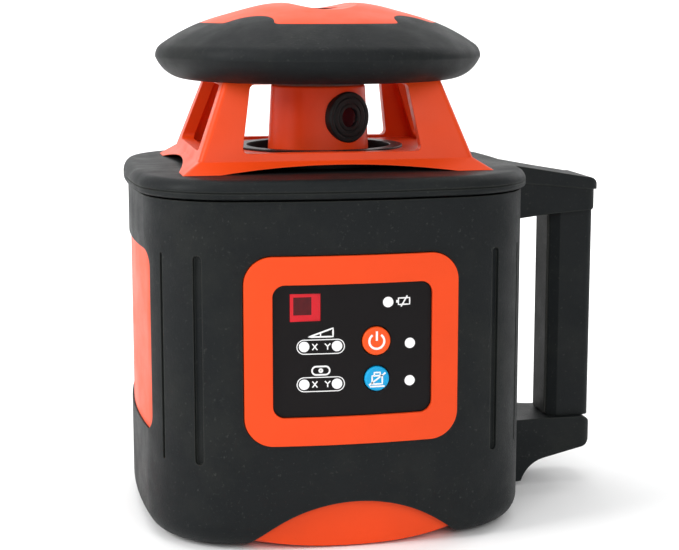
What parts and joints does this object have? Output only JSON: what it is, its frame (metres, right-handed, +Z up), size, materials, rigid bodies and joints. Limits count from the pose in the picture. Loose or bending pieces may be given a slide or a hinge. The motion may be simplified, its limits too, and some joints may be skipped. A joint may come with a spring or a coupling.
{
  "type": "rotating laser level",
  "caption": "Self-levelling rotary laser in a rubber boot: caged spinning head under a round bumper cap, side carry handle, keypad front, hinged battery door.",
  "frame": {"origin": "on the rotor's axis, at the mouth of the tripod thread, in the plane the level stands on", "axes": "+Z up along the rotor's axis, -Y out of the control panel, +X towards the carrying handle"},
  "size_m": [0.1949, 0.1456, 0.2012],
  "materials": {
    "orange_shell": "satin moulded ABS",
    "black_rubber": "fine matt moulded rubber",
    "foot_rubber": "matt",
    "brass": "machined",
    "steel": "zinc plated",
    "gasket": "matt foam",
    "grey_rubber": "fine matt",
    "keypad_black": "semi-gloss membrane",
    "orange_button": "satin",
    "blue_button": "satin",
    "lamp_white": "diffusing",
    "red_window": "red filter",
    "dark_part": "matt",
    "board_green": "solder mask",
    "black_plastic": "fine texture",
    "dark_glass": "coated",
    "lens_glass": "coated",
    "prism_glass": "polished",
    "orange_rotor": "satin paint",
    "cast_alloy": "die cast",
    "belt_rubber": "matt",
    "bearing_steel": "ground",
    "motor_case": "plated",
    "vial_glass": "clear",
    "cell_jacket": "printed sleeve"
  },
  "bodies": {
    "housing": {"housing_shell": "orange_shell", "rubber_boot": "black_rubber", "rubber_feet": "foot_rubber", "tripod_bushing": "brass", "bushing_screws": "steel", "housing_screws": "steel", "cover_gasket": "gasket", "top_cover": "black_rubber", "handle_grip": "black_rubber", "grip_insert": "grey_rubber", "handle_screws": "steel", "side_plate": "orange_shell", "panel_frame": "orange_shell", "keypad_panel": "keypad_black", "indicator_lenses": "lamp_white", "sensor_window": "red_window", "receiver_diode": "dark_part", "panel_board": "board_green", "cage": "orange_shell", "cage_screws": "steel", "opening_ring": "black_plastic", "cap_bumper": "black_rubber", "cap_plate": "black_plastic", "cap_dome": "orange_shell", "cap_screws": "steel", "up_beam_window": "dark_glass", "chassis": "cast_alloy", "levelling_motor_x": "motor_case", "levelling_motor_y": "motor_case", "main_board": "board_green", "battery_cells": "cell_jacket", "battery_tray": "black_plastic", "battery_springs": "steel", "door_hinge_pin": "steel"},
    "head": {"laser_head": "cast_alloy", "level_vial_x": "vial_glass", "level_vial_y": "vial_glass", "collimator_tube": "brass", "laser_diode": "steel", "lower_bearing": "bearing_steel", "upper_bearing": "bearing_steel", "rotor_motor": "motor_case", "gimbal_pins_y": "steel", "drive_belt": "belt_rubber"},
    "gimbal": {"gimbal_ring": "cast_alloy", "gimbal_pins_x": "steel"},
    "rotor": {"rotor_barrel": "orange_rotor", "lens_bezel": "black_plastic", "aperture_glass": "lens_glass", "pentaprism": "prism_glass", "rotor_shaft": "steel", "rotor_pulley": "black_plastic"},
    "motor_rotor": {"motor_pulley": "black_plastic"},
    "screw_x": {"levelling_screw_x": "steel"},
    "screw_y": {"levelling_screw_y": "steel"},
    "nut_x": {"levelling_nut_x": "brass"},
    "nut_y": {"levelling_nut_y": "brass"},
    "power_key": {"power_button": "orange_button"},
    "tilt_key": {"tilt_button": "blue_button"},
    "door": {"battery_door": "black_plastic"}
  },
  "joints": [
    {"name": "gimbal_x_tilt", "type": "hinge", "parent": "housing", "child": "gimbal", "pos_m": [0, 0, 0.075], "axis": [1, 0, 0], "range_deg": [-4, 4]},
    {"name": "gimbal_y_tilt", "type": "hinge", "parent": "gimbal", "child": "head", "pos_m": [0, 0, 0.075], "axis": [0, 1, 0], "range_deg": [-4, 4]},
    {"name": "rotor_spin", "type": "hinge", "parent": "head", "child": "rotor", "pos_m": [0, 0, 0.11], "axis": [0, 0, 1], "continuous": true},
    {"name": "motor_spin", "type": "hinge", "parent": "head", "child": "motor_rotor", "pos_m": [0.027, 0, 0.124], "axis": [0, 0, 1], "continuous": true},
    {"name": "nut_x_travel", "type": "slide", "parent": "housing", "child": "nut_x", "axis": [0, 0, 1], "range_m": [-0.00303, 0.00303]},
    {"name": "nut_y_travel", "type": "slide", "parent": "housing", "child": "nut_y", "axis": [0, 0, 1], "range_m": [-0.00303, 0.00303]},
    {"name": "screw_x_turn", "type": "hinge", "parent": "housing", "child": "screw_x", "pos_m": [0, -0.042, 0.07], "axis": [0, 0, 1], "range_deg": [-1061, 1061]},
    {"name": "screw_y_turn", "type": "hinge", "parent": "housing", "child": "screw_y", "pos_m": [-0.042, 0, 0.09], "axis": [0, 0, 1], "range_deg": [-1061, 1061]},
    {"name": "power_button_press", "type": "slide", "parent": "housing", "child": "power_key", "axis": [0, 1, 0], "range_m": [0, 0.0008], "stiffness_N_per_m": 900},
    {"name": "tilt_button_press", "type": "slide", "parent": "housing", "child": "tilt_key", "axis": [0, 1, 0], "range_m": [0, 0.0008], "stiffness_N_per_m": 900},
    {"name": "battery_door_hinge", "type": "hinge", "parent": "housing", "child": "door", "pos_m": [0, 0.0672, 0.015], "axis": [-1, 0, 0], "range_deg": [0, 90]}
  ],
  "couplings": [
    {"joint": "motor_spin", "follows": "rotor_spin", "ratio": 3.0408},
    {"joint": "nut_x_travel", "follows": "gimbal_x_tilt", "m_per_rad": -0.042},
    {"joint": "screw_x_turn", "follows": "gimbal_x_tilt", "ratio": -263.89},
    {"joint": "nut_y_travel", "follows": "gimbal_y_tilt", "m_per_rad": 0.042},
    {"joint": "screw_y_turn", "follows": "gimbal_y_tilt", "ratio": 263.89}
  ]
}
